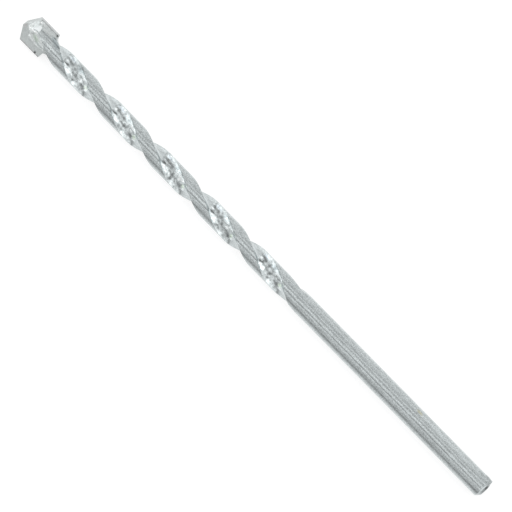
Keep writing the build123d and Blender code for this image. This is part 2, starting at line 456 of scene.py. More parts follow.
def cut(obj, cutter):
    """Cuts a closed solid out of obj and deletes the cutter."""
    modifier = obj.modifiers.new("cut", "BOOLEAN")
    modifier.operation = "DIFFERENCE"
    modifier.solver = "EXACT"
    modifier.object = cutter
    modifier.material_mode = "TRANSFER"
    settle(obj)
    bpy.data.objects.remove(cutter)


def settle(obj):
    """Applies the modifiers of obj to its mesh."""
    graph = bpy.context.evaluated_depsgraph_get()
    mesh = bpy.data.meshes.new_from_object(obj.evaluated_get(graph))
    obj.modifiers.clear()
    obj.data = mesh


def grind_head(body, material):
    """Grinds the steel down on both sides of the plate, behind each lip and in front of it."""
    lip_slope = 1 / math.tan(math.radians(POINT_ANGLE / 2))
    gash_slope = math.tan(math.radians(GASH_ANGLE))
    steel_slope = math.tan(math.radians(STEEL_RELIEF_ANGLE))
    outline = [
        (STEEL_SETBACK, 0),
        (STEEL_SETBACK + lip_slope * CUTTER_REACH, CUTTER_REACH),
        (-CUTTER_REACH, CUTTER_REACH),
        (-CUTTER_REACH, -CUTTER_REACH),
        (STEEL_SETBACK + gash_slope * CUTTER_REACH, -CUTTER_REACH),
    ]
    for turn in half_turns:
        back, along, off = head_side(turn)
        sweep = (off + back * steel_slope) * CUTTER_REACH
        start = Vector((LENGTH, 0, 0)) + off * PLATE_THICKNESS / 2
        grind = prism("grind", outline, back, along, sweep, start)
        grind.data.materials.append(material)
        cut(body, grind)


def cut_slot(body, material):
    """Cuts the slot that the plate and its braze sit in."""
    back, along, off = head_side(0)
    half = PLATE_THICKNESS / 2 + BRAZE_GAP
    floor = PLATE_LENGTH + BRAZE_GAP
    outline = [
        (floor, -CUTTER_REACH),
        (floor, CUTTER_REACH),
        (-CUTTER_REACH, CUTTER_REACH),
        (-CUTTER_REACH, -CUTTER_REACH),
    ]
    start = Vector((LENGTH, 0, 0)) - off * half
    slot = prism("slot", outline, back, along, off * 2 * half, start)
    slot.data.materials.append(material)
    cut(body, slot)


def make_steel_body(plain, ground):
    verts, faces = bar_surface()
    body = new_object("fluted_bar", verts, faces)
    bm = bmesh.new()
    bm.from_mesh(body.data)
    bmesh.ops.remove_doubles(bm, verts=bm.verts, dist=1e-7)
    bmesh.ops.recalc_face_normals(bm, faces=bm.faces)
    bm.to_mesh(body.data)
    bm.free()
    body.data.materials.append(plain)
    grind_head(body, ground)
    cut_slot(body, plain)
    smooth(body, 30)
    tint_and_paint_light_on_steel(body)
    return body


# Painted shade and highlights on the shank, and one yellowish mark, with places in millimetres from its
# end and above the axis
SHANK_STAIN_AND_PAINTED_LIGHT = (
    (0.4, 0.2, 0.52, 2.3, 0, grey(-0.75)),
    (0.35, 0.7, 0.42, 0.65, 0, grey(-1.0)),
    (1.05, 0.2, 0.2, 2.4, 0, grey(0.2)),
    (1.7, 3.2, 1.3, 0.35, 0, grey(-0.45)),
    (4.2, 2.65, 1.0, 0.25, 0, grey(-0.3)),
    (31.0, 2.3, 1.1, 0.4, 0, (-0.12, -0.2, -0.45)),
    (2.0, -2.4, 2.4, 0.5, 8, grey(-0.2)),
    (21.0, 2.1, 13.0, 0.6, 0, grey(0.13)),
    (23.5, -1.0, 6.5, 0.8, 0, grey(-0.10)),
)
# Painted shade and highlights on the land behind the plate, placed from the drill point
HEAD_PAINTED_LIGHT = (
    (11.3, 2.0, 2.4, 0.75, -22, (-0.34, -0.30, -0.28)),
    (9.5, 1.5, 4.6, 1.9, -8, grey(0.11)),
    (4.2, 0.25, 1.1, 0.4, 8, grey(0.5)),
    (3.6, 3.3, 0.4, 0.5, 0, grey(0.3)),
    (8.6, 2.4, 2.2, 0.6, 0, grey(-0.12)),
    (6.3, 1.9, 0.4, 0.25, 0, grey(-0.3)),
    (9.2, 1.85, 4.6, 0.28, 0, grey(-0.5)),
    (12.8, 1.7, 0.8, 0.25, -10, grey(-0.3)),
    (10.0, 1.35, 4.0, 0.16, 0, grey(0.18)),
    (10.0, 1.0, 3.6, 0.2, 0, grey(-0.45)),
    (8.1, 0.45, 0.35, 0.2, 0, grey(0.35)),
    (10.9, 0.35, 0.45, 0.2, 0, grey(0.32)),
    (12.0, 0.3, 0.4, 0.2, 0, grey(0.3)),
    (9.2, -0.2, 1.0, 0.16, -14, grey(-0.35)),
    (14.3, 0.9, 0.35, 0.3, 0, grey(-0.5)),
    (11.6, -0.8, 0.25, 0.6, 0, grey(0.22)),
    (13.5, -0.9, 0.25, 0.5, 0, grey(0.18)),
    (16.6, 2.1, 0.6, 0.3, 0, grey(-0.4)),
    (20.6, 2.0, 2.0, 0.8, -24, grey(-0.3)),
    (18.2, 2.4, 1.4, 0.6, 0, grey(0.15)),
    (24.9, 1.0, 1.6, 0.6, -10, grey(0.1)),
    (22.4, 2.1, 1.6, 0.7, -24, grey(-0.5)),
    (27.5, -1.6, 1.2, 0.7, -40, grey(0.25)),
    (25.4, -1.1, 1.2, 0.6, -24, grey(0.5)),
)
END_FACE_DEPTH = 0.02 * MM
END_FACE_SHADE = -0.5
HOLE_SHADE = -0.8


def head_painted_light_at(verts):
    height, nearness = height_and_nearness(verts)
    # Painted shade and highlights behind the plate, on the steel and on the braze
    marks = marks_at(LENGTH - verts[:, 0], height * np.sign(nearness), HEAD_PAINTED_LIGHT)
    return marks * soft_step(np.abs(nearness), 0, MARK_FADE)[:, None]


def shank_stain_and_painted_light_at(verts):
    height, nearness = height_and_nearness(verts)
    # Painted shade and highlights on the shank, placed in the view, and one yellowish mark
    marks = marks_at(verts[:, 0], height, SHANK_STAIN_AND_PAINTED_LIGHT)
    return marks * soft_step(np.abs(nearness), 0, MARK_FADE)[:, None]


def tint_and_paint_light_on_steel(body):
    verts = points_of(body)
    forged, tints = flute_look(verts)
    set_share(body, "forged", forged)
    set_share(body, "flute", flute_share(verts))
    tints += shank_stain_and_painted_light_at(verts) + head_painted_light_at(verts)
    # Painted shade on the shank's end face and in its centre hole
    tints += np.outer(verts[:, 0] < END_FACE_DEPTH, grey(END_FACE_SHADE))
    tints += np.outer(in_centre_hole(verts), grey(HOLE_SHADE))
    set_tint_and_painted_light(body, tints)


def grid_cut(bm, direction, low, high, step):
    """Cuts a mesh along evenly spaced planes, so that its flat faces can be shaped."""
    for place in np.arange(low + step, high, step):
        geometry = bm.verts[:] + bm.edges[:] + bm.faces[:]
        bmesh.ops.bisect_plane(bm, geom=geometry, plane_co=direction * place, plane_no=direction)


# Tip plate: the solid's own shape with worn edges, pits and a faint waviness
PLATE_GRID = 0.15 * MM
PLATE_EDGE_WEAR = 0.07 * MM
PLATE_WAVE_SIZE = 1.6 * MM
PLATE_WAVE_HEIGHT = 0.012 * MM
PLATE_RIM = 0.32 * MM  # width of the painted shade along the plate's long sides, a darker, browner stripe
RIM_FRAY = 0.12 * MM
RIM_FRAY_SIZE = 0.7 * MM
RIM_SHADE = (-0.36, -0.44, -0.42)

# Pits near the plate's long sides: distance behind the point and along the plate, radius, depth
PLATE_PITS = ((8.6, -4.32, 0.38, 0.16), (10.1, 4.35, 0.5, 0.2))
PIT_SHADE = -1.5
# Painted highlights and shade on the plate's broad faces, placed as the pits are
PLATE_PAINTED_LIGHT = (
    (4.8, 3.7, 0.18, 0.8, 0, grey(0.12)),
    (7.3, 3.6, 0.15, 0.9, 0, grey(0.12)),
    (8.6, 3.8, 0.15, 0.7, 0, grey(0.14)),
    (0.7, -0.4, 0.4, 0.7, 0, (-0.06, -0.12, -0.12)),
    (6.4, 4.3, 4.4, 0.28, 0, (-0.34, -0.37, -0.35)),
    (1.4, 1.1, 0.7, 1.2, 30, grey(0.3)),
    (2.9, 3.6, 0.6, 0.9, 30, grey(0.25)),
    (2.9, 2.4, 0.9, 1.1, 30, grey(0.38)),
    (3.15, 1.7, 0.75, 1.0, 30, grey(0.2)),
)


def plate_places(verts):
    """Distance behind the point, along the plate and off its middle, on either half turn."""
    back, along, off = head_side(0)
    from_point = verts - np.array((LENGTH, 0, 0))
    behind, beside, above = (from_point @ np.array(axis) for axis in (back, along, off))
    return behind, beside * np.sign(above), np.abs(above)


def worn_plate_mesh():
    """The solid's mesh with worn edges and a fine grid on its faces, and its normals."""
    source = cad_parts["tip_plate"]
    bm = bmesh.new()
    bm.from_mesh(source.data)
    bm.transform(source.matrix_world)
    bmesh.ops.remove_doubles(bm, verts=bm.verts, dist=1e-6)
    bmesh.ops.dissolve_limit(bm, angle_limit=math.radians(0.5), verts=bm.verts, edges=bm.edges)
    bmesh.ops.bevel(bm, geom=bm.edges[:], offset=PLATE_EDGE_WEAR, segments=2, profile=0.5, affect="EDGES")
    along, off = head_side(0)[1:]
    grid_cut(bm, Vector((1, 0, 0)), LENGTH - PLATE_LENGTH, LENGTH, PLATE_GRID)
    grid_cut(bm, along, -TIP_RADIUS, TIP_RADIUS, PLATE_GRID)
    grid_cut(bm, off, -PLATE_THICKNESS / 2, PLATE_THICKNESS / 2, 2 * PLATE_GRID)
    bmesh.ops.triangulate(bm, faces=[f for f in bm.faces if len(f.verts) > 4])
    bm.normal_update()
    normals = np.array([v.normal for v in bm.verts])
    mesh = bpy.data.meshes.new("tip_plate_shaped")
    bm.to_mesh(mesh)
    bm.free()
    return mesh, normals


def pits_at(behind, beside, above):
    """How far each point sinks into a pit of the plate's broad faces, and how much painted shade it gets.
    """
    sunk = np.zeros(len(behind))
    pit_shade = np.zeros(len(behind))
    for middle, level, radius, depth in PLATE_PITS:
        apart = np.hypot(behind - middle * MM, beside - level * MM) / (radius * MM)
        pit = np.exp(-(apart**4)) * (above > 0.45 * PLATE_THICKNESS)
        sunk += pit * depth * MM
        pit_shade += pit
    return sunk, pit_shade


def painted_rim_shade_at(verts, beside, above):
    """Share of the frayed stripe of painted shade along the plate's long sides."""
    frayed = PLATE_RIM + RIM_FRAY * noise_at(verts, RIM_FRAY_SIZE, 8)
    rim = soft_step(lip_corner - np.abs(beside), frayed, 0.4 * frayed)
    return rim * soft_step(above, 0.2 * PLATE_THICKNESS, 0.4 * PLATE_THICKNESS)


def make_tip_plate():
    mesh, normals = worn_plate_mesh()
    plate = object_of("ground_tip_plate", mesh)
    verts = points_of(plate)
    behind, beside, above = plate_places(verts)
    # Pits sink the broad faces and get painted shade
    sunk, pit_shade = pits_at(behind, beside, above)
    # Painted highlights and shade on the plate's broad faces
    tints = marks_at(behind, beside, PLATE_PAINTED_LIGHT)
    tints *= soft_step(above, 0.4 * PLATE_THICKNESS, 0.5 * PLATE_THICKNESS)[:, None]
    # Painted shade in the pits and in a brownish stripe along the long sides
    tints += np.outer(pit_shade, grey(PIT_SHADE)) + np.outer(painted_rim_shade_at(verts, beside, above), RIM_SHADE)
    waves = PLATE_WAVE_HEIGHT * noise_at(verts, PLATE_WAVE_SIZE, 7)
    off = np.array(head_side(0)[2])
    outward = np.outer(np.sign(verts @ off), off)
    verts += normals * waves[:, None] - outward * sunk[:, None]
    mesh.vertices.foreach_set("co", verts.ravel())
    mesh.update()
    set_tint_and_painted_light(plate, tints)
    smooth(plate, 35)
    return plate


# Braze: the solid with its film and rear fillets, and on each side of the plate a skin of
# melted metal that rounds the corners out and ends in a low bead on the plate's face
SKIN_GRID = 0.1 * MM
SKIN_FROM = 0.6 * MM
SKIN_RUNOUT = 1.3 * MM  # the skin thins out over this length before the plate's rear
SKIN_HALF_WIDTH = 4.3 * MM
SKIN_FILLET = 0.6 * MM
RAMP_SLOPE = 0.8
RAMP_REACH = 2.6 * MM
# Where braze has run up in a ramp: in the gash, and in the corner on the plate's other half
RAMP_PLACES = ((7.0, -0.5, 3.2, 1.4, -16), (7.3, 2.9, 3.6, 0.55, 0))
BARE_PLACE = (3.9, 1.8, 1.6, 1.8, 0)  # the ground end of the steel, which stays free of braze
SKIN_MARGIN = 3  # grid steps that the skin runs on under its surroundings
SKIN_THINNEST = 0.06 * MM
SKIN_STEEPEST = 0.35 * MM  # a cell that climbs more than this stands on bare steel and is left out
SKIN_TUCK = 0.2 * MM  # how far the skin dives where there is no braze to show
SKIN_LUMPS, SKIN_LUMP_SIZE = 0.05 * MM, 0.5 * MM
RAY_START = 3 * BODY_RADIUS  # how far off the plate's middle a side is looked at from
NOTHING_MET = -4 * BODY_RADIUS  # height where nothing is met
PIT_CLEARANCE = 1.2  # share of a pit's radius within which the braze thins out
POOL_MIDDLE = (7.2 * MM, 1.05 * MM)  # behind the point, along the plate
POOL_REACH = (5.35 * MM, 3.7 * MM)
POOL_EDGE = 0.3 * MM
POOL_FILM = 0.05 * MM
POOL_DEPTH = 0.30 * MM  # more of it towards the middle
POOL_SLOPE = 2.0 * MM
POOL_WANDER, POOL_WANDER_SIZE = 0.3 * MM, 0.8 * MM
FACE_REACH = 0.6 * MM  # how far off the plate's face the pool still runs
BEAD_HEIGHT = 0.07 * MM
BEAD_WIDTH = 0.3 * MM
BEAD_LUMP_SIZE = 0.9 * MM
# Painted highlight along the bead at the pool's edge, in lumps
BEAD_HIGHLIGHT, BEAD_HIGHLIGHT_SIZE = 0.45, 0.7 * MM
BEAD_HIGHLIGHT_FROM, BEAD_HIGHLIGHT_FULL = 8.0 * MM, 4.0 * MM  # behind the point
# Braze that has run into the corner behind the plate: for each half of the plate its foot and
# its top along the plate, how fast it falls, and how far it reaches back
REAR_RAMPS = (
    (2.5 * MM, 4.5 * MM, 0.6 * MM, 1.8 * MM),
    (2.35 * MM, 3.3 * MM, 0.42 * MM, 1.2 * MM),
)
REAR_RAMP_SHARE = 0.96  # of the plate's thickness
REAR_RAMP_POINTS = 7
REAR_RAMP_ROUNDING = 0.12 * MM
REAR_RAMP_TAIL = 1.2 * MM
# A greenish tint and painted highlights on the braze, placed as the plate's marks are
BRAZE_TINT_AND_PAINTED_LIGHT = (
    (5.9, -0.85, 1.4, 0.7, -12, (-0.10, -0.04, -0.14)),
    (3.7, 1.8, 0.8, 1.7, 0, grey(0.32)),
    (3.15, 1.7, 0.75, 1.0, 30, grey(0.2)),
    (7.2, -0.75, 3.4, 1.5, -16, grey(0.42)),
    (8.4, -2.15, 1.8, 0.35, 0, grey(0.25)),
    (2.6, 0.2, 0.9, 1.3, 30, grey(0.3)),
)


def surface_under(turn, trees, behind, beside):
    """What is met first at each place of a grid over one side of the plate, seen from outside.

    Returns its height off the plate's middle, and where there is anything at all.
    """
    back, along, off = head_side(turn)
    heights = np.full((len(behind), len(beside)), NOTHING_MET)
    for i, a in enumerate(behind):
        for j, b in enumerate(beside):
            source = Vector((LENGTH, 0, 0)) + back * a + along * b + off * RAY_START
            for tree in trees:
                distance = tree.ray_cast(source, -off, RAY_START)[3]
                if distance is not None:
                    heights[i, j] = max(heights[i, j], RAY_START - distance)
    solid = heights > 0.3 * PLATE_THICKNESS
    return np.where(solid, heights, NOTHING_MET), solid


def rolled(heights, radius, step):
    """What a ball of that radius can't reach when it rolls over a height field stays filled."""
    reach = int(radius / step)
    offsets = [
        (i, j, math.sqrt(radius**2 - (i * i + j * j) * step**2))
        for i in range(-reach, reach + 1)
        for j in range(-reach, reach + 1)
        if (i * i + j * j) * step**2 <= radius**2
    ]
    wide = np.pad(heights, 2 * reach, mode="edge")
    raised = np.full_like(wide, -1.0)
    for i, j, lift in offsets:
        raised = np.maximum(raised, np.roll(wide, (i, j), (0, 1)) + lift)
    lowered = np.full_like(wide, 1.0)
    for i, j, lift in offsets:
        lowered = np.minimum(lowered, np.roll(raised, (i, j), (0, 1)) - lift)
    return lowered[2 * reach : -2 * reach, 2 * reach : -2 * reach]


def ramped(heights, slope, reach, step):
    """Height field with a ramp that falls at that slope from each of its points."""
    cells = int(reach / step)
    wide = np.pad(heights, cells, mode="edge")
    result = wide.copy()
    for i in range(-cells, cells + 1):
        for j in range(-cells, cells + 1):
            result = np.maximum(result, np.roll(wide, (i, j), (0, 1)) - slope * step * math.hypot(i, j))
    return result[cells:-cells, cells:-cells]


def blurred(values):
    """Each value averaged with its neighbours in a grid."""
    wide = np.pad(values, 1, mode="edge")
    rows = (wide[:-2] + 2 * wide[1:-1] + wide[2:]) / 4
    return (rows[:, :-2] + 2 * rows[:, 1:-1] + rows[:, 2:]) / 4


def inside_pool(behind, beside):
    """How far a place lies inwards from the edge of the pool of braze, roughly."""
    around = np.hypot((behind - POOL_MIDDLE[0]) / POOL_REACH[0], (beside - POOL_MIDDLE[1]) / POOL_REACH[1])
    return (1 - around) * POOL_REACH[1]


def nearest_pit(behind, beside):
    """Distance from the nearest pit's middle, as a share of the pit's radius."""
    shares = [
        np.hypot(behind - middle * MM, beside - level * MM) / (radius * MM)
        for middle, level, radius, depth in PLATE_PITS
    ]
    return np.minimum.reduce(shares)


def filled_corners(under, solid, a, b):
    """Height of the braze that rounds the corners out and has run up in ramps."""
    skin = rolled(under, SKIN_FILLET, SKIN_GRID)
    share = np.clip(sum(spot(a, b, *place) for place in RAMP_PLACES), 0, 1)
    skin += share * np.maximum(ramped(under, RAMP_SLOPE, RAMP_REACH, SKIN_GRID) - skin, 0)
    return np.where(solid, np.maximum(blurred(blurred(skin)), under), under)


def pool_film(under, a, b, points):
    """Thickness of the pool of braze on the plate's face, with the bead along its edge."""
    inwards = inside_pool(a, b) + POOL_WANDER * noise_at(points, POOL_WANDER_SIZE, 11).reshape(a.shape)
    film = POOL_FILM * soft_step(inwards, -POOL_EDGE / 2, POOL_EDGE / 2)
    film += POOL_DEPTH * soft_step(inwards, 0, POOL_SLOPE)
    lumps = 0.6 + noise_at(points, BEAD_LUMP_SIZE, 13).reshape(a.shape)
    film += BEAD_HEIGHT * lumps.clip(0, None) * np.exp(-((inwards / BEAD_WIDTH) ** 2))
    return film * (np.abs(under - PLATE_THICKNESS / 2) < FACE_REACH)


def braze_skin(turn, trees):
    """Mesh of the melted braze on one side of the plate."""
    behind = np.arange(SKIN_FROM, PLATE_LENGTH, SKIN_GRID)
    beside = np.arange(-SKIN_HALF_WIDTH, SKIN_HALF_WIDTH + SKIN_GRID / 2, SKIN_GRID)
    under, solid = surface_under(turn, trees, behind, beside)
    a, b = np.meshgrid(behind, beside, indexing="ij")
    points = np.stack([a.ravel(), b.ravel(), np.full(a.size, turn * MM)], 1)
    skin = np.maximum(filled_corners(under, solid, a, b), under + pool_film(under, a, b, points))
    face = PLATE_THICKNESS / 2
    skin = face + (skin - face) * soft_step(PLATE_LENGTH - a, SKIN_GRID, SKIN_RUNOUT)
    apart = nearest_pit(a, b)
    extra = (skin - under) * (1 - spot(a, b, *BARE_PLACE))
    extra *= 1 - np.exp(-((apart / PIT_CLEARANCE) ** 4))
    lumps = noise_at(points, SKIN_LUMP_SIZE, 12).reshape(a.shape)
    extra += extra.clip(0, 2 * SKIN_LUMPS) * 0.5 * lumps
    top = under + extra - SKIN_TUCK * (1 - soft_step(extra, 0, SKIN_THINNEST))
    near = extra > SKIN_THINNEST / 3
    for axis in (0, 1):
        near = np.any([np.roll(near, k, axis) for k in range(-SKIN_MARGIN, SKIN_MARGIN + 1)], axis=0)
    return skin_mesh(turn, behind, beside, top, solid & near & (apart >= 1))


def skin_mesh(turn, behind, beside, top, shown):
    """Closed mesh of even thickness under a height field, where it is shown."""
    back, along, off = head_side(turn)
    bm = bmesh.new()
    upper, lower = {}, {}
    for i, a in enumerate(behind):
        for j, b in enumerate(beside):
            if shown[i, j]:
                foot = Vector((LENGTH, 0, 0)) + back * a + along * b
                upper[i, j] = bm.verts.new(foot + off * top[i, j])
                lower[i, j] = bm.verts.new(foot + off * (top[i, j] - SKIN_TUCK))
    for i in range(len(behind) - 1):
        for j in range(len(beside) - 1):
            corners = [(i, j), (i + 1, j), (i + 1, j + 1), (i, j + 1)]
            heights = [top[c] for c in corners]
            if all(c in upper for c in corners) and max(heights) - min(heights) < SKIN_STEEPEST:
                bm.faces.new([upper[c] for c in corners])
                bm.faces.new([lower[c] for c in reversed(corners)])
    rim = [e for e in bm.edges if len(e.link_faces) == 1]
    twin = {upper[c]: lower[c] for c in upper}
    for edge in rim:
        if edge.verts[0] in twin and edge.verts[1] in twin:
            first, second = edge.verts
            bm.faces.new([first, second, twin[second], twin[first]])
    bmesh.ops.delete(bm, geom=[v for v in bm.verts if not v.link_faces], context="VERTS")
    bmesh.ops.recalc_face_normals(bm, faces=bm.faces)
    mesh = bpy.data.meshes.new("skin")
    bm.to_mesh(mesh)
    bm.free()
    return mesh


def rear_ramp(turn, foot, top, fall, length):
    """Mesh of the braze in the corner behind one half of the plate. It thins out backwards."""
    back, along, off = head_side(turn)
    low = WEB_THICKNESS / 4
    outline = [(PLATE_LENGTH - BRAZE_GAP, low), (PLATE_LENGTH - BRAZE_GAP, top)]
    for ahead in np.linspace(0, length, REAR_RAMP_POINTS):
        outline.append((PLATE_LENGTH + ahead, foot + (top - foot) * math.exp(-ahead / fall)))
    outline.append((PLATE_LENGTH + length + REAR_RAMP_TAIL, low))
    half = REAR_RAMP_SHARE * PLATE_THICKNESS / 2
    start = Vector((LENGTH, 0, 0)) - off * half
    ramp_piece = prism("rear_ramp", outline, back, along, off * 2 * half, start)
    mesh = ramp_piece.data
    bpy.data.objects.remove(ramp_piece)
    bm = bmesh.new()
    bm.from_mesh(mesh)
    sharp = [e for e in bm.edges if e.calc_face_angle(0) > math.radians(30)]
    bmesh.ops.bevel(bm, geom=sharp, offset=REAR_RAMP_ROUNDING, segments=3, profile=0.5, affect="EDGES")
    bm.to_mesh(mesh)
    bm.free()
    return mesh


def braze_tint_and_painted_light(verts):
    behind, beside, above = plate_places(verts)
    bead = np.exp(-((inside_pool(behind, beside) / (1.6 * BEAD_WIDTH)) ** 2))
    lumps = 0.25 + 0.75 * soft_step(noise_at(verts, BEAD_HIGHLIGHT_SIZE, 14), -0.4, 0.3)
    # Painted highlight along the bead
    bead_highlight = bead * lumps * soft_step(behind, BEAD_HIGHLIGHT_FROM, BEAD_HIGHLIGHT_FULL)
    # Greenish tint and painted highlights on the braze, and the head's painted light
    tints = marks_at(behind, beside, BRAZE_TINT_AND_PAINTED_LIGHT) + head_painted_light_at(verts)
    return tints + np.outer(bead_highlight, grey(BEAD_HIGHLIGHT))


def make_braze(trees):
    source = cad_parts["braze"]
    whole = bmesh.new()
    whole.from_mesh(source.data)
    whole.transform(source.matrix_world)
    for turn, sizes in zip(half_turns, REAR_RAMPS):
        for melted in (braze_skin(turn, trees), rear_ramp(turn, *sizes)):
            whole.from_mesh(melted)
            bpy.data.meshes.remove(melted)
    mesh = bpy.data.meshes.new("melted_braze")
    whole.to_mesh(mesh)
    whole.free()
    braze = object_of("melted_braze", mesh)
    set_tint_and_painted_light(braze, braze_tint_and_painted_light(points_of(braze)))
    smooth(braze, 60)
    return braze


def tree_of(obj):
    mesh = obj.data
    verts = [obj.matrix_world @ v.co for v in mesh.vertices]
    return BVHTree.FromPolygons(verts, [tuple(f.vertices) for f in mesh.polygons])


# Materials, whose colours the stored tints and painted light make lighter or darker
STEEL_COLOUR = (0.525, 0.565, 0.57)
GROUND_COLOUR = (0.68, 0.71, 0.715)
PLATE_COLOUR = (0.524, 0.558, 0.555)
FILLER_COLOUR = (0.54, 0.57, 0.568)


def add_node(tree, kind, inputs, **settings):
    """New shader node, with its inputs set to numbers and colours or joined to other nodes."""
    node = tree.nodes.new("ShaderNode" + kind)
    for name, value in settings.items():
        setattr(node, name, value)
    for name, value in inputs.items():
        if isinstance(value, bpy.types.NodeSocket):
            tree.links.new(value, node.inputs[name])
        else:
            node.inputs[name].default_value = value
    return node


def link_math(tree, operation, first, second=None):
    """Math on one or two sockets or numbers. Returns its result."""
    inputs = {0: first} if second is None else {0: first, 1: second}
    return add_node(tree, "Math", inputs, operation=operation).outputs[0]


def grain(tree, size, detail=2.0, stretch=1.0):
    """Noise around 0.5 with grains of that size, drawn out along the bit's axis."""
    place = add_node(tree, "TexCoord", {}).outputs["Object"]
    scale = (1 / (size * stretch), 1 / size, 1 / size)
    scaled = add_node(tree, "Mapping", {"Scale": scale, "Vector": place}).outputs[0]
    return add_node(tree, "TexNoise", {"Scale": 1.0, "Detail": detail, "Vector": scaled}).outputs[0]


def spread(tree, value, low, high, start=0.3, end=0.7):
    """Maps start and end, by default those of most noise, onto low and high."""
    inputs = {"Value": value, "From Min": start, "From Max": end, "To Min": low, "To Max": high}
    return add_node(tree, "MapRange", inputs).outputs[0]


def stored(tree, name):
    """Node that reads what was stored at the mesh's points."""
    return add_node(tree, "Attribute", {}, attribute_name=name)


def scaled_colour(tree, colour, factors):
    """The stored tints and painted light times a colour times each factor."""
    tint_and_painted_light = stored(tree, "tint_and_painted_light").outputs["Vector"]
    result = add_node(tree, "VectorMath", {0: tint_and_painted_light, 1: colour}, operation="MULTIPLY").outputs[0]
    for factor in factors:
        node = add_node(tree, "VectorMath", {0: result, "Scale": factor}, operation="SCALE")
        result = node.outputs[0]
    return result


def bump(tree, height, depth):
    return add_node(tree, "Bump", {"Strength": 1.0, "Distance": depth, "Height": height}).outputs[0]


def new_metal(name, metallic):
    material = bpy.data.materials.new(name)
    material.use_nodes = True
    shader = material.node_tree.nodes["Principled BSDF"]
    shader.inputs["Metallic"].default_value = metallic
    return material, material.node_tree, shader


def fit(tree, shader, colour, roughness, normal):
    """Joins a metal's colour, roughness and normal to its shader."""
    tree.links.new(colour, shader.inputs["Base Color"])
    tree.links.new(roughness, shader.inputs["Roughness"])
    tree.links.new(normal, shader.inputs["Normal"])


def make_steel():
    """Turned and blasted bar: fine pits, drawn-out streaks, and mottled where it was forged, with painted
    reflection sparkle in that mottled colour.
    """
    material, tree, shader = new_metal("blasted_steel", 1.0)
    forged = stored(tree, "forged").outputs["Fac"]
    in_flute = stored(tree, "flute").outputs["Fac"]
    tint_and_painted_light = stored(tree, "tint_and_painted_light").outputs["Fac"]
    pits = grain(tree, 0.34 * MM, detail=1.0)
    streaks = grain(tree, 0.34 * MM, detail=1.0, stretch=9)
    patches = grain(tree, 1.1 * MM, detail=3.0)
    # Mottled colour in the forged stretch: painted reflection sparkle
    mottle = link_math(tree, "MULTIPLY", forged, spread(tree, patches, -0.45, 0.5))
    mottle = link_math(tree, "ADD", 1.0, mottle)
    calm = link_math(tree, "SUBTRACT", 1.0, link_math(tree, "MULTIPLY", in_flute, 0.6))
    pitted = link_math(tree, "MULTIPLY", calm, spread(tree, pits, -0.28, 0.26))
    pitted = link_math(tree, "ADD", 1.0, pitted)
    colour = scaled_colour(tree, STEEL_COLOUR, [pitted, spread(tree, streaks, 0.90, 1.09), mottle])
    rougher = link_math(tree, "MULTIPLY", forged, 0.16)
    rough = link_math(tree, "ADD", spread(tree, pits, 0.08, 0.13), rougher)
    fit(tree, shader, colour, rough, bump(tree, pits, 0.003 * MM))
    # The brightest painted highlights are diffuse, so that they shine from every side
    tree.links.new(spread(tree, tint_and_painted_light, 1.0, 0.3, start=1.2, end=1.9), shader.inputs["Metallic"])
    return material


def make_ground_steel():
    """Ground end of the bar: bright, with scratches across it."""
    material, tree, shader = new_metal("ground_steel", 1.0)
    scratches = grain(tree, 0.15 * MM, detail=2.0, stretch=0.2)
    colour = scaled_colour(tree, GROUND_COLOUR, [spread(tree, scratches, 0.94, 1.04)])
    fit(tree, shader, colour, spread(tree, scratches, 0.25, 0.35), bump(tree, scratches, 0.003 * MM))
    return material


def make_hard_metal():
    """Sintered and ground plate: matt, finely grained, slightly green."""
    material, tree, shader = new_metal("hard_metal", 0.85)
    fine = grain(tree, 0.35 * MM, detail=2.0)
    broad = grain(tree, 1.5 * MM, detail=3.0)
    factors = [spread(tree, fine, 0.90, 1.09), spread(tree, broad, 0.93, 1.07)]
    colour = scaled_colour(tree, PLATE_COLOUR, factors)
    fit(tree, shader, colour, spread(tree, fine, 0.34, 0.48), bump(tree, fine, 0.006 * MM))
    return material


def make_filler():
    """Braze metal that has run and was blasted over: pale and lumpy."""
    material, tree, shader = new_metal("filler_metal", 0.9)
    fine = grain(tree, 0.4 * MM, detail=2.0)
    broad = grain(tree, 1.2 * MM, detail=3.0)
    factors = [spread(tree, fine, 0.86, 1.12), spread(tree, broad, 0.90, 1.10)]
    colour = scaled_colour(tree, FILLER_COLOUR, factors)
    fit(tree, shader, colour, spread(tree, fine, 0.28, 0.42), bump(tree, fine, 0.012 * MM))
    return material


# The dressed part
steel_body = make_steel_body(make_steel(), make_ground_steel())
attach(steel_body, "root")
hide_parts("drill_body")

tip_plate = make_tip_plate()
tip_plate.data.materials.append(make_hard_metal())
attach(tip_plate, "root")
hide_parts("tip_plate")

braze = make_braze([tree_of(steel_body), tree_of(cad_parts["tip_plate"])])
braze.data.materials.clear()
braze.data.materials.append(make_filler())
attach(braze, "root")
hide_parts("braze")


# Stage: a pale floor under the bit, in a studio tent whose walls are seen in the steel
FLOOR_SIZE = 8.0
FLOOR_COLOUR = 0.9
FLOOR_LIFT = 0.75  # light that the floor adds where the camera sees it, so that it is white
FLOOR_SHADE = 0.38  # how much of the floor's own shading the camera sees

# Brightness of the floor where the steel mirrors it, at millimetres from the bit's axis along Y
FLOOR_IN_MIRROR = (
    (-60, 1.02),
    (-8, 1.15),
    (0, 1.10),
    (3.9, 1.10),
    (5.9, 1.02),
    (8.6, 0.80),
    (13.7, 0.50),
    (29, 0.55),
    (63, 0.68),
    (120, 0.82),
)

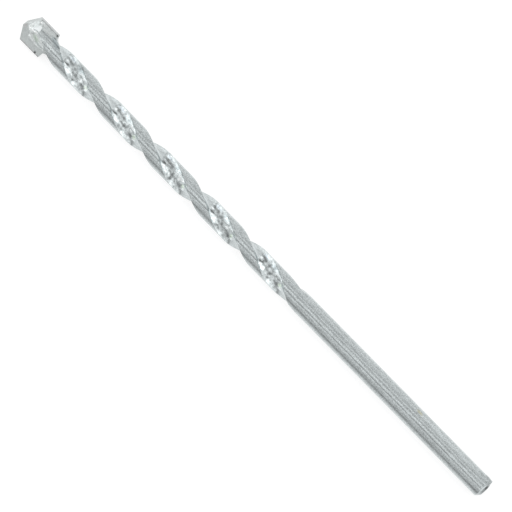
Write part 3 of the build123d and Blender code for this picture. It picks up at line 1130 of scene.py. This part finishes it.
# Brightness of the tent's walls at angles around the bit, and of its two ends
TENT_WALLS = (
    (0, 0.70),
    (18, 0.78),
    (33, 1.02),
    (38, 0.92),
    (43, 0.31),
    (48, 0.84),
    (60, 1.12),
    (66, 1.12),
    (74, 0.72),
    (84, 0.70),
    (94, 1.12),
    (102, 0.76),
    (116, 0.80),
    (138, 0.97),
    (166, 0.94),
    (180, 1.02),
)
TENT_END = 1.25
END_STARTS, END_FULL = 0.35, 0.7  # share of a view's direction that is along the bit


def ramp(tree, value, stops):
    """Grey ramp with its own range: stops are (value, brightness) in rising order."""
    low, high = stops[0][0], stops[-1][0]
    fraction = add_node(tree, "MapRange", {"Value": value, "From Min": low, "From Max": high})
    node = add_node(tree, "ValToRGB", {"Fac": fraction.outputs[0]})
    elements = node.color_ramp.elements
    while len(elements) < len(stops):
        elements.new(0.5)
    for element, (place, brightness) in zip(elements, stops):
        element.position = (place - low) / (high - low)
    for element, (place, brightness) in zip(elements, stops):
        element.color = (*grey(brightness), 1)
    return node.outputs["Color"]


def make_floor():
    """Floor that the camera sees nearly white, and that the steel mirrors with soft bands."""
    half = FLOOR_SIZE / 2
    z = -BODY_RADIUS
    corners = [(-half, -half, z), (half, -half, z), (half, half, z), (-half, half, z)]
    floor = new_object("floor", corners, [(0, 1, 2, 3)])
    material = bpy.data.materials.new("pale_floor")
    material.use_nodes = True
    tree = material.node_tree
    tree.nodes.clear()
    plain = add_node(tree, "BsdfDiffuse", {"Color": (*grey(FLOOR_COLOUR), 1)}).outputs[0]
    shade = add_node(tree, "BsdfDiffuse", {"Color": (*grey(FLOOR_COLOUR * FLOOR_SHADE), 1)}).outputs[0]
    lift = add_node(tree, "Emission", {"Strength": FLOOR_LIFT}).outputs[0]
    lifted = add_node(tree, "AddShader", {0: shade, 1: lift}).outputs[0]
    place = add_node(tree, "TexCoord", {}).outputs["Object"]
    aside = link_math(tree, "DIVIDE", add_node(tree, "SeparateXYZ", {0: place}).outputs["Y"], MM)
    bands = add_node(tree, "Emission", {"Color": ramp(tree, aside, FLOOR_IN_MIRROR)}).outputs[0]
    path = add_node(tree, "LightPath", {})
    mirrored = add_node(tree, "MixShader", {0: path.outputs["Is Glossy Ray"], 1: plain, 2: bands})
    seen = {0: path.outputs["Is Camera Ray"], 1: mirrored.outputs[0], 2: lifted}
    add_node(tree, "OutputMaterial", {"Surface": add_node(tree, "MixShader", seen).outputs[0]})
    floor.data.materials.append(material)


def make_tent():
    """World light that changes with the angle around the bit and towards the tent's ends."""
    world = bpy.data.worlds.new("tent")
    bpy.context.scene.world = world
    world.use_nodes = True
    tree = world.node_tree
    place = add_node(tree, "TexCoord", {}).outputs["Generated"]
    parts = add_node(tree, "SeparateXYZ", {0: place}).outputs
    angle = link_math(tree, "DEGREES", link_math(tree, "ARCTAN2", parts["Z"], parts["Y"]))
    towards_end = link_math(tree, "ABSOLUTE", parts["X"])
    inputs = {"Value": towards_end, "From Min": END_STARTS, "From Max": END_FULL}
    share = add_node(tree, "MapRange", inputs, interpolation_type="SMOOTHSTEP").outputs[0]
    inputs = {"Factor": share, "A": ramp(tree, angle, TENT_WALLS), "B": (*grey(TENT_END), 1)}
    brightness = add_node(tree, "Mix", inputs, data_type="RGBA").outputs["Result"]
    tent = tree.nodes["Background"]
    tree.links.new(brightness, tent.inputs["Color"])
    white = add_node(tree, "Background", {"Color": (*grey(1), 1)}).outputs[0]
    seen = add_node(tree, "LightPath", {}).outputs["Is Camera Ray"]
    mix = add_node(tree, "MixShader", {0: seen, 1: tent.outputs[0], 2: white})
    tree.links.new(mix.outputs[0], tree.nodes["World Output"].inputs["Surface"])


def make_camera():
    facing = across(view_angle)
    rise = across(view_angle + 90)
    to_shank = Vector((-1, 0, 0))
    slope = math.radians(PICTURE_SLOPE)
    right = to_shank * math.cos(slope) + rise * math.sin(slope)
    up = rise * math.cos(slope) - to_shank * math.sin(slope)
    data = bpy.data.cameras.new("camera")
    data.sensor_width = SENSOR_WIDTH
    data.lens = SENSOR_WIDTH * CAMERA_DISTANCE / PICTURE_WIDTH
    data.clip_start = 0.1
    data.clip_end = 20
    camera = bpy.data.objects.new("camera", data)
    bpy.context.scene.collection.objects.link(camera)
    target = Vector((PICTURE_CENTRE_X, 0, 0)) + rise * PICTURE_CENTRE_RISE
    turned = Matrix((right, up, facing)).transposed().to_4x4()
    camera.matrix_world = Matrix.Translation(target + facing * CAMERA_DISTANCE) @ turned
    bpy.context.scene.camera = camera


make_floor()
make_tent()
make_camera()
bpy.context.scene.view_settings.view_transform = "Standard"
